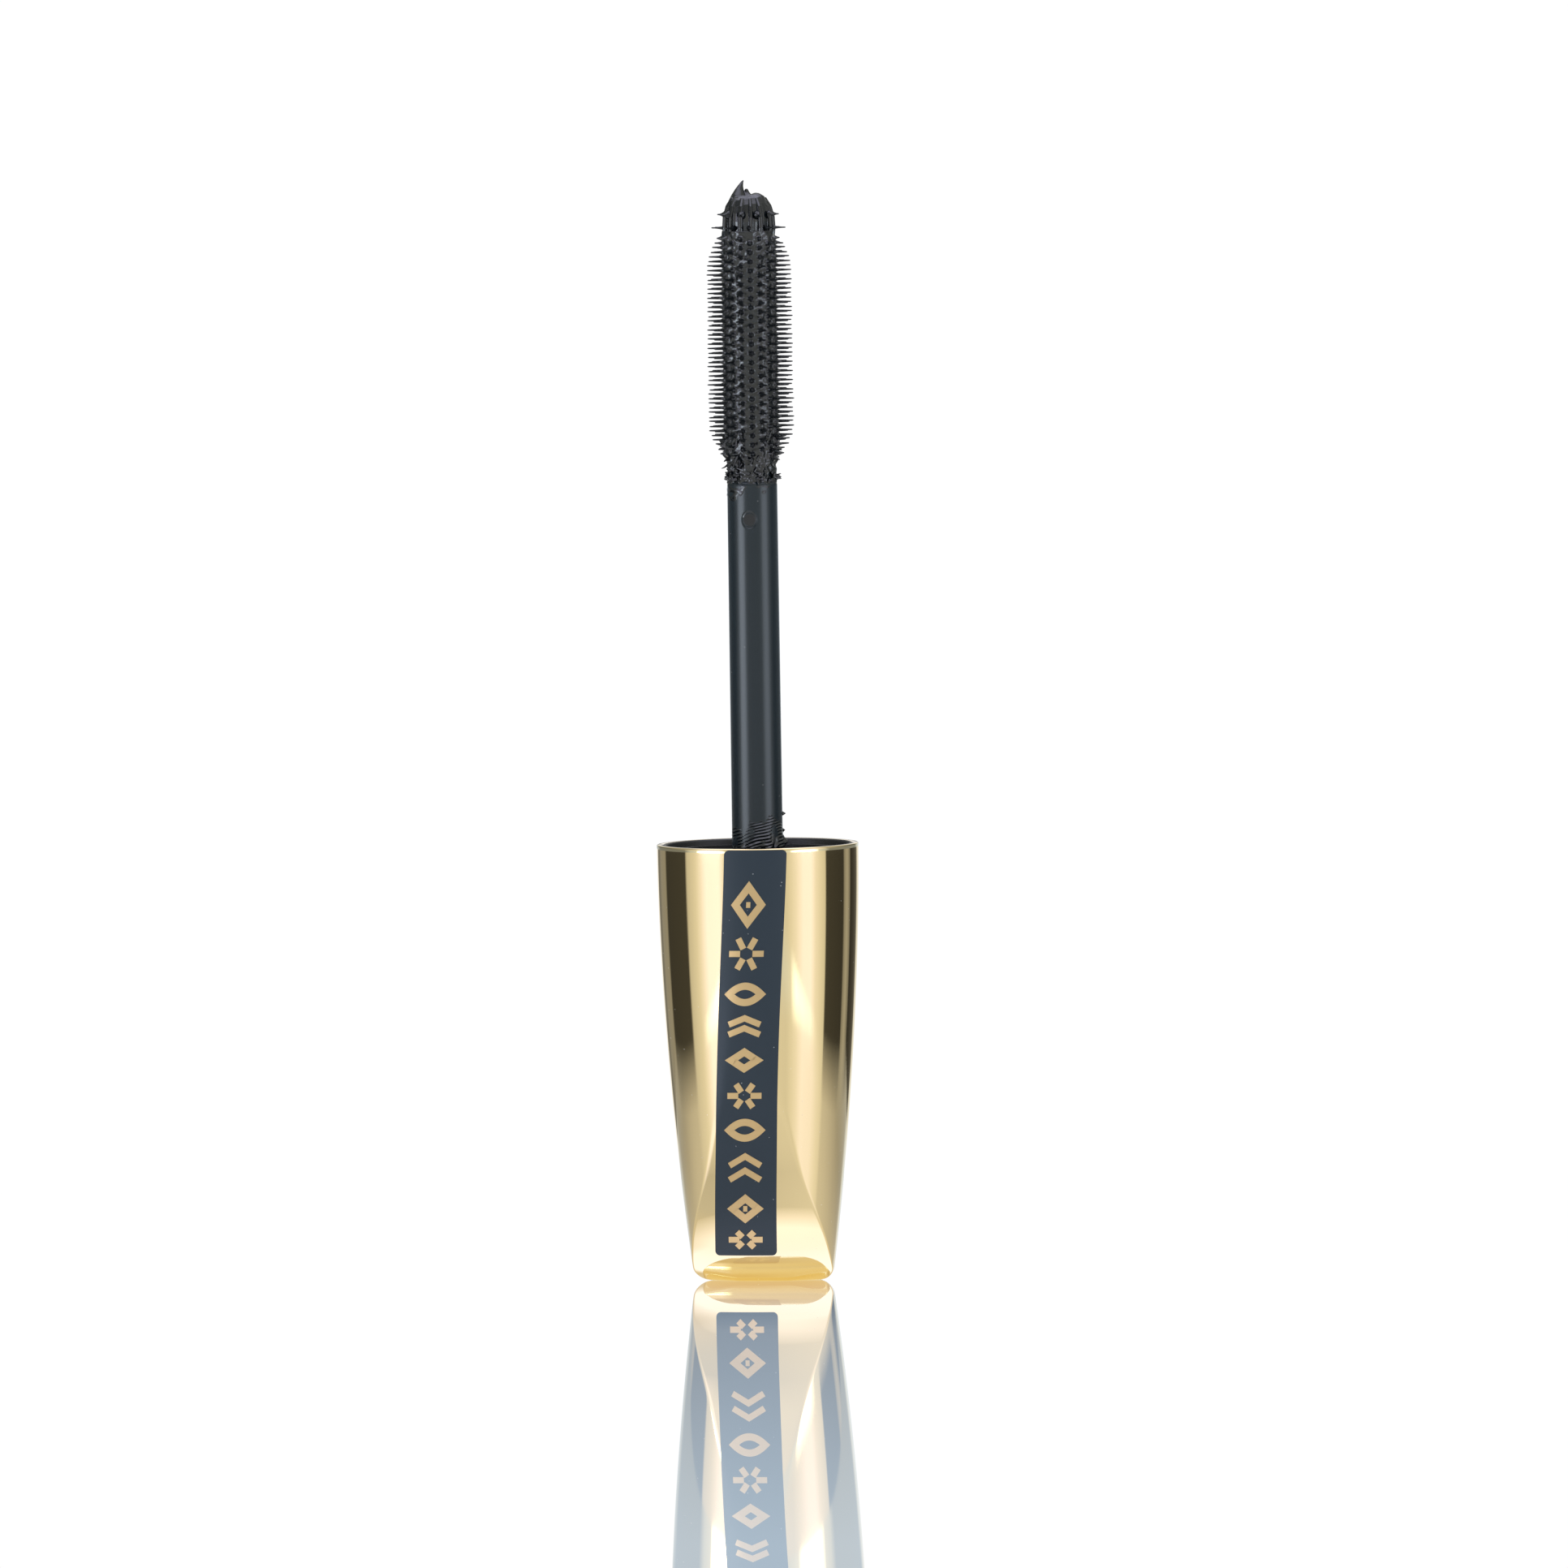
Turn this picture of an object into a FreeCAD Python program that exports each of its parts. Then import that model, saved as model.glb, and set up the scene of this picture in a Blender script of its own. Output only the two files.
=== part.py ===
import FreeCAD, Part
import math
import os

# Mascara applicator standing on its closed end: a metallised cap that holds a threaded inner
# cap, a wand and a moulded brush loaded with formula. Millimetres, +Z up along the wand.
# The origin is on the cap's axis at the level it stands on. The slanted face looks to -Y.

V = FreeCAD.Vector
UP = V(0, 0, 1)
ORIGIN = V(0, 0, 0)

# ---- cap shell ----
CAP_H = 41.8            # standing height of the cap, base to rim
RIM_R = 9.6             # outer radius at the rim
FLARE = 0.0034          # the wall narrows below the rim by FLARE * (distance ** FLARE_POWER)
FLARE_POWER = 1.82
SHELL_WALL = 0.9
FLOOR_WALL = 1.6        # wall of the closed end
FACE_CROWN_R = 25.0     # the slanted face is slightly crowned from side to side
# the slanted face in side view: (distance in front of the axis, height)
FACE_STATIONS = (
    (0.5, 0.0), (2.15, 1.35), (4.1, 4.1), (6.2, 8.6), (7.83, 15.6), (8.87, 24.0), (9.65, 33.5),
)
LAND_R = 3.4            # flat that the cap stands on
LAND_Y = 1.9            # its centre lies behind the axis, like the centre of mass
BASE_DOME_R = 70.0      # the closed end curves up very slightly around the flat
BASE_EDGE_R = 1.2
RIM_LIP = 0.2

# ---- weight and inner cap ----
WEIGHT_R = 4.4
WEIGHT_Z = (7.4, 14.4)
WEIGHT_Y = 2.1          # the slanted face leaves more room behind the axis
CRADLE_WALL = 0.8
INNER_TOP = CAP_H - 0.55
FLANGE_Z = 37.8         # from here up the inner cap fills the shell's bore
BODY_R = 7.75
THREAD_BORE_R = 6.9
THREAD_CREST_R = 6.35
THREAD_PITCH = 3.0
THREAD_TURNS = 1.5
THREAD_START = 31.5
DECK_Z = (23.5, 26.0)
DECK_R = 7.3
TAIL_R = 4.0
TAIL_Z = 14.6
GRIP_RIBS = 6
GRIP_RIB_W = 0.9
SLIP = 0.03             # radial clearance of pieces that are pushed together by hand

# ---- wand ----
WAND_BASE_Z = 16.2
WAND_TOP_Z = 76.4
WAND_R_BASE = 2.43
WAND_R_TOP = 2.38
WAND_SHOULDER_R = 0.45
COLLAR_R = 3.4
GASKET_T = 0.9
GASKET_R = 6.2
COLLAR_T = 1.2
SOCKET_R = 1.35
SOCKET_DEPTH = 10.0
BUTTON_Z = 72.7
BUTTON_R = 0.6

# ---- brush ----
SPINE_R = 1.25
SPINE_TOP = 100.9
GRIP_RING_R = 1.45
SLEEVE_R = 2.1
SLEEVE_TOP = 101.9
RING_PITCH = 0.435
RING_BRISTLES = 9
FIRST_RING_Z = 78.95
LAST_RING_Z = 99.5
BRISTLE_R = 4.08        # radius of the bristle tips along the brush
BRISTLE_ROOT_R = 0.17
BRISTLE_TIP_R = 0.07
END_SPIKES = ((100.4, 3.5), (101.6, 2.85))   # height and tip radius of the last two rings

# ---- label ----
LABEL_T = 0.1
# the band leans a little: (height, centre x, half width)
LABEL_STATIONS = ((2.6, -1.28, 2.97), (20.0, -0.22, 2.92), (41.65, 1.0, 2.93))
LABEL_CORNER_R = 0.45

# ---- formula ----
BLOB_BASE_Z = 99.75
BLOB_OUTLINE = ((2.12, 99.75), (2.35, 100.6), (2.3, 102.0), (1.95, 103.0), (1.2, 103.65))
PEAK_FROM = V(-0.15, -0.1, 102.6)
PEAK_TO = V(-0.45, 0.0, 104.9)
PEAK_R = (1.35, 0.14)
NECK_FILM_R = 2.42
NECK_FILM_Z = (76.55, 78.6)
WAND_SMEAR_T = 0.12
WAND_SMEAR_Z = (42.3, 44.6)


def wall_r(z):
    """Outer radius of the round part of the shell."""
    return RIM_R - FLARE * max(CAP_H - z, 0.0) ** FLARE_POWER


def revolve(points, centre_y=0.0):
    """Solid from a closed outline of (radius, height) points turned about a vertical axis."""
    wire = Part.makePolygon([V(r, centre_y, z) for r, z in points] + [V(points[0][0], centre_y, points[0][1])])
    return Part.Face(wire).revolve(V(0, centre_y, 0), UP, 360)


def revolve_edges(edges, centre_y=0.0):
    return Part.Face(Part.Wire(edges)).revolve(V(0, centre_y, 0), UP, 360)


def line(a, b, y=0.0):
    return Part.makeLine(V(a[0], y, a[1]), V(b[0], y, b[1]))


def spline(points, y=0.0):
    curve = Part.BSplineCurve()
    curve.interpolate([V(r, y, z) for r, z in points])
    return curve.toShape()


def tube(r_out, r_in, z0, z1):
    return Part.makeCylinder(r_out, z1 - z0, V(0, 0, z0)).cut(
        Part.makeCylinder(r_in, z1 - z0, V(0, 0, z0)))


def round_body(grow, z0, z1):
    """A stretch of the flared round body, grown or shrunk in radius by `grow`."""
    steps = 9
    heights = [z0 + (z1 - z0) * i / steps for i in range(steps + 1)]
    side = [(wall_r(z) + grow, z) for z in heights]
    edges = [
        line((0, z0), side[0]),
        spline(side),
        line(side[-1], (0, z1)),
        line((0, z1), (0, z0)),
    ]
    return revolve_edges(edges)


def behind_face(grow):
    """Everything behind the slanted, crowned face, moved out or in by `grow`."""
    axis_back = FACE_CROWN_R - FACE_STATIONS[-1][0]
    side = [(axis_back + d + grow, z) for d, z in FACE_STATIONS]
    top = CAP_H + 10
    low = -5.0
    edges = [
        line((0, low), (side[0][0], low), axis_back),
        line((side[0][0], low), side[0], axis_back),
        spline(side, axis_back),
        line(side[-1], (side[-1][0], top), axis_back),
        line((side[-1][0], top), (0, top), axis_back),
        line((0, top), (0, low), axis_back),
    ]
    return revolve_edges(edges, axis_back)


def above_base():
    """Everything above the gently domed closed end with its small flat."""
    reach = 14.0
    rise = BASE_DOME_R - math.sqrt(BASE_DOME_R ** 2 - (reach - LAND_R) ** 2)
    half = (reach - LAND_R) / 2
    mid = (LAND_R + half, BASE_DOME_R - math.sqrt(BASE_DOME_R ** 2 - half ** 2))
    top = CAP_H + 10
    arc = Part.Arc(V(LAND_R, LAND_Y, 0), V(mid[0], LAND_Y, mid[1]), V(reach, LAND_Y, rise)).toShape()
    edges = [
        line((0, 0), (LAND_R, 0), LAND_Y),
        arc,
        line((reach, rise), (reach, top), LAND_Y),
        line((reach, top), (0, top), LAND_Y),
        line((0, top), (0, 0), LAND_Y),
    ]
    return revolve_edges(edges, LAND_Y)


def cap_outside(grow=0.0):
    body = round_body(grow, -1.0, CAP_H)
    return body.common(behind_face(grow)).common(above_base())


def edge_cutter():
    """What is cut off around the closed end to round its edge."""
    lean = math.atan(FLARE * FLARE_POWER * CAP_H ** (FLARE_POWER - 1))
    centre_z = BASE_EDGE_R - 0.05
    centre_r = wall_r(centre_z - BASE_EDGE_R * math.sin(lean)) - BASE_EDGE_R * math.cos(lean) + 0.01
    slant = BASE_EDGE_R * math.sin(math.pi / 4)
    low = V(centre_r, 0, centre_z - BASE_EDGE_R)
    mid = V(centre_r + slant, 0, centre_z - slant)
    high = V(centre_r + BASE_EDGE_R, 0, centre_z)
    reach = high.x + 2
    edges = [
        Part.Arc(low, mid, high).toShape(),
        line((high.x, centre_z), (reach, centre_z)),
        line((reach, centre_z), (reach, -1)),
        line((reach, -1), (low.x, -1)),
        line((low.x, -1), (low.x, low.z)),
    ]
    return revolve_edges(edges)


def cradle():
    """Ring and cross ribs moulded in the closed end that seat the weight."""
    z0 = FLOOR_WALL - 0.4
    seat = WEIGHT_Z[0]
    ring = Part.makeCylinder(WEIGHT_R + CRADLE_WALL, seat + 3 - z0, V(0, WEIGHT_Y, z0))
    ring = ring.cut(Part.makeCylinder(WEIGHT_R, seat + 4, V(0, WEIGHT_Y, z0)))
    long_rib = Part.makeBox(16, CRADLE_WALL, seat - z0, V(-8, WEIGHT_Y - CRADLE_WALL / 2, z0))
    cross_rib = Part.makeBox(CRADLE_WALL, 16, seat - z0, V(-CRADLE_WALL / 2, WEIGHT_Y - 8, z0))
    return ring.fuse([long_rib, cross_rib])


def cap_shell():
    outside = cap_outside().cut(edge_cutter())
    room = round_body(-SHELL_WALL, FLOOR_WALL, CAP_H + 1).common(behind_face(-SHELL_WALL))
    shell = outside.cut(room)
    inside_ribs = cradle().common(room)
    shell = shell.fuse(inside_ribs)
    lip = revolve([
        (wall_r(CAP_H) - SHELL_WALL - 0.5, CAP_H + 0.5),
        (wall_r(CAP_H) - SHELL_WALL - 0.5, CAP_H - RIM_LIP - 0.5),
        (wall_r(CAP_H) - SHELL_WALL, CAP_H - RIM_LIP),
        (wall_r(CAP_H) - SHELL_WALL + RIM_LIP, CAP_H),
        (wall_r(CAP_H) - SHELL_WALL + RIM_LIP, CAP_H + 0.5),
    ])
    return shell.cut(lip).removeSplitter()


def cap_weight():
    body = Part.makeCylinder(WEIGHT_R - SLIP, WEIGHT_Z[1] - WEIGHT_Z[0], V(0, WEIGHT_Y, WEIGHT_Z[0]))
    return body.makeChamfer(0.3, [e for e in body.Edges if len(e.Vertexes) == 1])


def thread_ridge():
    """Internal thread that grips the bottle's neck: a trapezoid swept along a helix."""
    height = THREAD_PITCH * THREAD_TURNS
    root_r = THREAD_BORE_R + 0.15
    helix = Part.makeHelix(THREAD_PITCH, height, root_r)
    corners = [
        V(root_r, 0, -0.65),
        V(THREAD_CREST_R, 0, -0.3),
        V(THREAD_CREST_R, 0, 0.3),
        V(root_r, 0, 0.65),
    ]
    outline = Part.makePolygon(corners + [corners[0]])
    ridge = Part.Wire(helix.Edges).makePipeShell([outline], True, True)
    ridge.translate(V(0, 0, THREAD_START))
    return ridge


def inner_cap():
    flange_r = wall_r(FLANGE_Z) - SHELL_WALL - SLIP
    outline = [
        (0, TAIL_Z), (TAIL_R, TAIL_Z), (TAIL_R, DECK_Z[0]), (DECK_R, DECK_Z[0]),
        (DECK_R + 0.4, DECK_Z[1]), (BODY_R, DECK_Z[1]), (BODY_R, FLANGE_Z), (flange_r, FLANGE_Z),
        (flange_r, INNER_TOP - 0.25), (flange_r - 0.25, INNER_TOP),
        (THREAD_BORE_R + 0.75, INNER_TOP), (THREAD_BORE_R + 0.75, INNER_TOP - 0.35),
        (THREAD_BORE_R + 0.3, INNER_TOP - 0.35), (THREAD_BORE_R, INNER_TOP - 0.75),
        (THREAD_BORE_R, DECK_Z[1]), (0, DECK_Z[1]),
    ]
    body = revolve(outline)
    body = body.cut(Part.makeCylinder(WAND_R_BASE, 40, V(0, 0, WAND_BASE_Z)))
    limit = round_body(-SHELL_WALL - SLIP, DECK_Z[1], FLANGE_Z).common(behind_face(-SHELL_WALL - SLIP))
    ribs = []
    for i in range(GRIP_RIBS):
        rib = Part.makeBox(3.0, GRIP_RIB_W, FLANGE_Z - DECK_Z[1], V(BODY_R - 0.3, -GRIP_RIB_W / 2, DECK_Z[1]))
        rib.rotate(ORIGIN, UP, 360.0 / GRIP_RIBS * (i + 0.5))
        ribs.append(rib.common(limit))
    return body.fuse(ribs).removeSplitter().fuse(thread_ridge())


def neck_gasket():
    z0 = DECK_Z[1]
    ring = tube(GASKET_R, WAND_R_BASE, z0, z0 + GASKET_T)
    bead = revolve([(4.6, z0 + GASKET_T - 0.1), (5.3, z0 + GASKET_T - 0.1), (4.95, z0 + GASKET_T + 0.25)])
    return ring.fuse(bead).removeSplitter()


def wand_stem():
    length = WAND_TOP_Z - WAND_BASE_Z
    collar_z = DECK_Z[1] + GASKET_T
    stem = Part.makeCylinder(WAND_R_BASE, collar_z - WAND_BASE_Z, V(0, 0, WAND_BASE_Z))
    taper = Part.makeCone(WAND_R_BASE, WAND_R_TOP, WAND_TOP_Z - collar_z, V(0, 0, collar_z))
    top_edge = [e for e in taper.Edges if e.BoundBox.ZMin > WAND_TOP_Z - 0.01]
    taper = taper.makeFillet(WAND_SHOULDER_R, top_edge)
    collar = Part.makeCone(COLLAR_R, COLLAR_R - 0.4, COLLAR_T, V(0, 0, collar_z))
    socket = Part.makeCylinder(SOCKET_R, SOCKET_DEPTH, V(0, 0, WAND_TOP_Z - SOCKET_DEPTH))
    button_hole = Part.makeCylinder(BUTTON_R, 4, V(0, 0, BUTTON_Z), V(0, -1, 0))
    return stem.fuse([taper, collar]).cut(socket).cut(button_hole).removeSplitter()


def brush_core():
    spigot_z = WAND_TOP_Z - SOCKET_DEPTH + 0.4
    spigot = Part.makeCylinder(SOCKET_R - SLIP, WAND_TOP_Z - spigot_z, V(0, 0, spigot_z))
    lead_in = Part.makeCone(SOCKET_R - 0.35, SOCKET_R - SLIP, 0.4, V(0, 0, spigot_z - 0.4))
    stop = Part.makeCylinder(SLEEVE_R - 0.1, 0.5, V(0, 0, WAND_TOP_Z))
    spine = Part.makeCylinder(SPINE_R, SPINE_TOP - WAND_TOP_Z, V(0, 0, WAND_TOP_Z))
    pieces = [lead_in, stop, spine]
    for z in (82.0, 88.5, 95.0):
        pieces.append(Part.makeCylinder(GRIP_RING_R, 0.8, V(0, 0, z)))
    button = Part.makeCylinder(BUTTON_R - SLIP, WAND_R_TOP - 0.02, V(0, 0, BUTTON_Z), V(0, -1, 0))
    return spigot.fuse(pieces).fuse(button).removeSplitter()


def bristle_tip_r(z):
    """Radius of the bristle tips: even along the brush, shorter at both ends."""
    low = min((z - FIRST_RING_Z) / 2.6, 1.0)
    high = min((LAST_RING_Z + 0.4 - z) / 3.6, 1.0)
    low_cut = 1.25 * (1 - low) ** 1.7
    high_cut = 1.4 * (1 - high) ** 1.9
    return BRISTLE_R - low_cut - high_cut


def bristle(z, angle, tip_r):
    root = SLEEVE_R - 0.12
    cone = Part.makeCone(BRISTLE_ROOT_R, BRISTLE_TIP_R, tip_r - root, V(root, 0, z), V(1, 0, 0))
    cone.rotate(ORIGIN, UP, angle)
    return cone


def bristles():
    step = 360.0 / RING_BRISTLES
    found = []
    rings = int((LAST_RING_Z - FIRST_RING_Z) / RING_PITCH) + 1
    for i in range(rings):
        z = FIRST_RING_Z + i * RING_PITCH
        for k in range(RING_BRISTLES):
            found.append(bristle(z, step * (k + 0.5 * (i % 2)), bristle_tip_r(z)))
    for row, (z, tip_r) in enumerate(END_SPIKES):
        for k in range(RING_BRISTLES):
            found.append(bristle(z, step * (k + 0.5 * (row % 2)), tip_r))
    return found


def bristle_sleeve(core):
    base_z = WAND_TOP_Z + 0.02
    barrel = Part.makeCylinder(SLEEVE_R, SLEEVE_TOP - base_z, V(0, 0, base_z))
    top_edge = [e for e in barrel.Edges if e.BoundBox.ZMin > SLEEVE_TOP - 0.01]
    barrel = barrel.makeFillet(0.8, top_edge)
    barrel = barrel.cut(core)
    return barrel.fuse(bristles())


def front_label():
    bottom = LABEL_STATIONS[0]
    top = LABEL_STATIONS[-1]
    left = spline([(x - w, z) for z, x, w in LABEL_STATIONS])
    right = spline([(x + w, z) for z, x, w in LABEL_STATIONS])
    low = line((bottom[1] - bottom[2], bottom[0]), (bottom[1] + bottom[2], bottom[0]))
    high = line((top[1] - top[2], top[0]), (top[1] + top[2], top[0]))
    outline = Part.Wire([low, right, high, left])
    prism = Part.Face(outline).extrude(V(0, -14, 0))
    corners = [e for e in prism.Edges if e.BoundBox.YLength > 13 and e.BoundBox.XLength < 0.01]
    prism = prism.makeFillet(LABEL_CORNER_R, corners)
    return cap_outside(LABEL_T).common(prism).cut(cap_outside())


def formula_load(sleeve, wand, core):
    """Formula on the brush tip, round the brush neck and smeared low on the wand."""
    outline = [line((0, BLOB_BASE_Z), BLOB_OUTLINE[0])]
    outline.append(spline(BLOB_OUTLINE))
    outline.append(line(BLOB_OUTLINE[-1], (0, BLOB_OUTLINE[-1][1] + 0.15)))
    outline.append(line((0, BLOB_OUTLINE[-1][1] + 0.15), (0, BLOB_BASE_Z)))
    blob = revolve_edges(outline)
    rise = PEAK_TO.sub(PEAK_FROM)
    peak = Part.makeCone(PEAK_R[0], PEAK_R[1], rise.Length, PEAK_FROM, rise)
    blob = blob.fuse(peak).cut(sleeve)
    neck = tube(NECK_FILM_R, SLEEVE_R - 0.2, *NECK_FILM_Z).cut(sleeve).cut(core)
    smear = tube(WAND_R_BASE + WAND_SMEAR_T, WAND_R_TOP, *WAND_SMEAR_Z).cut(wand)
    return Part.Compound([largest(blob), largest(neck), largest(smear)])


def largest(shape):
    return max(shape.Solids, key=lambda s: s.Volume)


def save(name, shape):
    if not shape.isValid():
        print("not valid:", name)
    shape.exportStep(os.path.join("parts", name + ".step"))
    print(name, "solids", len(shape.Solids), "volume", round(shape.Volume, 2))


os.makedirs("parts", exist_ok=True)

wand = wand_stem()
core = brush_core()
sleeve = bristle_sleeve(core)
save("cap_shell", cap_shell())
save("cap_weight", cap_weight())
save("inner_cap", inner_cap())
save("neck_gasket", neck_gasket())
save("wand_stem", wand)
save("brush_core", core)
save("bristle_sleeve", sleeve)
save("front_label", front_label())
save("formula_load", formula_load(sleeve, wand, core))
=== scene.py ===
import math
import random

import bpy
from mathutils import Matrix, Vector, noise


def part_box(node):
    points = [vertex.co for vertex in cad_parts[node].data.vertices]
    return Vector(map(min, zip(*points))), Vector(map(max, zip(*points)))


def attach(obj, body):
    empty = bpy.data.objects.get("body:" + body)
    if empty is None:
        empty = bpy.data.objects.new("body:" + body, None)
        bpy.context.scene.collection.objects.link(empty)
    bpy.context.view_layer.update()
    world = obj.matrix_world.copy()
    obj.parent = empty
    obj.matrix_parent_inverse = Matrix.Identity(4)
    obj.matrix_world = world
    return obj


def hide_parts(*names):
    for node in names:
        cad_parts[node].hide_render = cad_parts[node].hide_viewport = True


# Looks of the mascara applicator: the gold cap's smooth skin, its label with an ornament, the
# wand, the loaded brush, a white glossy plate and the studio around it. Lengths are in metres.

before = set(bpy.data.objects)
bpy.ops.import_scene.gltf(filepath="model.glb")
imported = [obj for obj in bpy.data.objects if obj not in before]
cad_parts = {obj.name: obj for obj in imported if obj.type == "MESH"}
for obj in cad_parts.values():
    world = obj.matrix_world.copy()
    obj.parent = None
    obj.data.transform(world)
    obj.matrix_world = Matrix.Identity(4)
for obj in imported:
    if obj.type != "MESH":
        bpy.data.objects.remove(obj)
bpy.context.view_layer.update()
MM = 0.001

shell_low, shell_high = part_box("cap_shell")
wand_low, wand_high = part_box("wand_stem")
sleeve_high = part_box("bristle_sleeve")[1]

# ---- cap ----
CAP_H = shell_high[2]
RIM_R = (shell_high[0] - shell_low[0]) / 2
FLARE = 0.0034           # the wall narrows below the rim by FLARE * (distance ** FLARE_POWER)
FLARE_POWER = 1.82
WALL = 0.9 * MM
FACE_CROWN_R = 25 * MM
# slanted face in side view: (height, distance in front of the axis)
FACE = (
    (0.0, 0.5), (1.35, 2.15), (4.1, 4.1), (8.6, 6.2), (15.6, 7.83), (24.0, 8.87), (33.5, 9.65),
    (45.0, 10.6),
)
CROWN_DEPTH = 9.65 * MM  # distance in front of the axis where the crown's radius is FACE_CROWN_R
CROWN_CENTRE = FACE_CROWN_R - CROWN_DEPTH
RIDGE_SOFT = 0.10 * MM   # rounding of the ridges beside the slanted face
RIDGE_LEAST = 0.32       # the face's points keep at least this half angle, in radians
RING_FRONT = 110         # points of a ring on the slanted face
RING_BACK = 210          # points of a ring on the round wall
POLE_Y = 3.0 * MM        # the skin's rings are drawn round this point behind the axis
BASE_EDGE_R = 1.3 * MM
FACE_EDGE_R = 0.45 * MM
LAND_R = 3.4 * MM        # flat that the cap stands on
LAND_Y = 1.9 * MM        # the flat's middle, behind the axis
BASE_DOME_R = 70 * MM    # the closed end curves up round its flat
LIFT_FADE = 3 * MM       # height over which that curve dies out up the side
FLOOR_WALL = 1.6 * MM
RIM_ROUND = 0.14 * MM
LIP_CHAMFER = 0.2 * MM

# ---- label ----
LABEL_BOTTOM = 2.75 * MM
LABEL_TOP = CAP_H - 0.12 * MM
LABEL_FILM = 0.09 * MM
LABEL_SINK = 0.03 * MM   # how far the band's underside lies in the shell
LABEL_CORNER = 0.45 * MM
# (height, centre x, half width)
LABEL_AXIS = (
    (2.6, -1.28, 2.97), (10.0, -0.73, 2.94), (24.0, -0.02, 2.90), (38.0, 0.83, 2.92),
    (41.8, 1.0, 2.93),
)
MOTIF_HALF = 1.63 * MM
STROKE = 0.68 * MM
FOIL = 0.03 * MM
# (centre height, half height) of each ornament, from the rim down
MOTIFS = (
    (36.5, 2.1), (31.85, 1.5), (28.0, 1.12), (24.85, 1.0), (21.7, 1.2),
    (18.3, 1.15), (15.0, 1.1), (11.35, 1.45), (7.4, 1.4), (4.35, 0.8),
)

# ---- wand and brush ----
WAND_TOP = wand_high[2]
WAND_R_LOW = 2.43 * MM
WAND_R_HIGH = 2.38 * MM
WAND_TAPER_Z = 30 * MM   # the wand narrows evenly above this height
WAND_SHOULDER = 0.5 * MM
BUTTON_Z = 72.7 * MM
BUTTON_R = 0.66 * MM
BUTTON_ZONE = (70.5 * MM, 74.5 * MM)    # heights between which the wand's rings lie close
GROOVE_DEPTH = 0.09 * MM
GROOVE_WIDTH = 0.075 * MM
BUTTON_SINK = 0.03 * MM
SLEEVE_R = 2.1 * MM
SLEEVE_TOP = sleeve_high[2]
BARREL_LOW = WAND_TOP + 0.02 * MM
BARREL_ROUND = 0.8 * MM
RING_PITCH = 0.435 * MM
RING_BRISTLES = 9
FIRST_RING_Z = 78.95 * MM
LAST_RING_Z = 99.5 * MM
BRISTLE_R = 4.08 * MM
BRISTLE_ROOT_R = 0.17 * MM
BRISTLE_TIP_R = 0.065 * MM
BRISTLE_BASE_R = 1.95 * MM
END_SPIKES = ((100.4, 3.55, 0.28), (101.65, 2.98, 0.46))    # height, tip radius, root radius
SPIKE_BASE_R = 2.22 * MM
SPIKE_TAPER = 2.6
FILL_R = 2.52 * MM
FILL_NECK_R = 2.30 * MM
FILL_TOP = 100.1 * MM
FILL_ROW = 0.055 * MM
WET_R = 0.16 * MM        # the formula climbs each bristle over this distance round it
WET_RISE = 0.55 * MM
SHREDS = 150
FOOT_FILM = (41.0 * MM, 46.6 * MM)      # heights of the smear low on the wand
FOOT_Z = 41.4 * MM
NECK_FILM_LOW = 72.9 * MM
FILM_ROW = 0.035 * MM
FILM_SINK = 0.06 * MM    # a bare film lies this far under the surface

# ---- camera and studio ----
CAMERA_AZ = 7.5
CAMERA_DISTANCE = 2.0
CAMERA_Z = 157 * MM
AIM_Z = 47.4 * MM
AIM_RIGHT = 2.6 * MM
FRAME_WIDTH = 149.2 * MM
CAMERA_ROLL = 0.85
PLATE_SIDE = 0.125
PLATE_FADE = 0.03
PLATE_FRONT = 0.75
PLATE_BACK = 0.125
PLATE_REACH = 0.3
PLATE_SIDEWAYS = 0.3     # the shade near the object runs out more slowly to the sides
# the plate's glowing milk-white body, painted by distance in front of the axis: as the camera sees it, with
# painted shade near the object, and as the object sees it, with a painted warm glow where the gold above
# would warm it
PLATE_PAINTED_SHADE_SEEN = (
    (0.0, (0.10, 0.10, 0.09)), (0.015, (0.08, 0.13, 0.19)), (0.058, (0.24, 0.29, 0.35)),
    (0.275, (0.38, 0.47, 0.56)),
)
PLATE_PAINTED_GLOW = (
    (0.0015, (0.64, 0.46, 0.19)), (0.0033, (0.70, 0.57, 0.35)), (0.005, (0.68, 0.62, 0.50)),
    (0.0107, (0.52, 0.51, 0.48)), (0.027, (0.42, 0.41, 0.39)), (0.06, (0.28, 0.27, 0.25)),
    (0.11, (0.24, 0.23, 0.21)),
)
STUDIO_R = 0.6
DOME_FOOT = 0.2          # the cards bend inwards above this height
DOME_RISE = 0.61
WORLD_LEVEL = 1.02
SENSOR = 36
# Light level of the cards by azimuth, 0 at the camera's side and positive to its right
CARDS_BELOW = (
    (-180, 1.0), (-164, 1.0), (-160, 0.22), (-152, 0.2), (-148, 0.3), (-133, 0.32), (-129, 0.05), (-92, 0.06),
    (-89, 0.66), (-77, 0.85), (-70, 1.06), (-62, 1.35), (-46, 1.4), (-38, 0.9), (32, 0.78), (44, 1.02),
    (53, 1.26), (63, 1.28), (70, 1.0), (83, 0.76), (85, 0.06), (115, 0.045), (118, 0.3), (124, 0.42),
    (130, 0.25), (133, 0.035), (146, 0.07), (154, 0.14), (158, 0.8), (180, 1.0),
)
CARDS_ABOVE = (
    (-180, 1.0), (-165, 0.6), (-160, 0.36), (-124, 0.34), (-94, 0.52), (-88, 0.68), (-77, 0.85), (-70, 1.06),
    (-62, 1.35), (-46, 1.4), (-38, 0.9), (32, 0.78), (44, 0.98), (53, 1.2), (68, 1.15), (83, 0.82),
    (87, 0.57), (104, 0.46), (122, 0.36), (150, 0.31), (156, 0.5), (160, 0.8), (180, 1.0),
)
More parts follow.
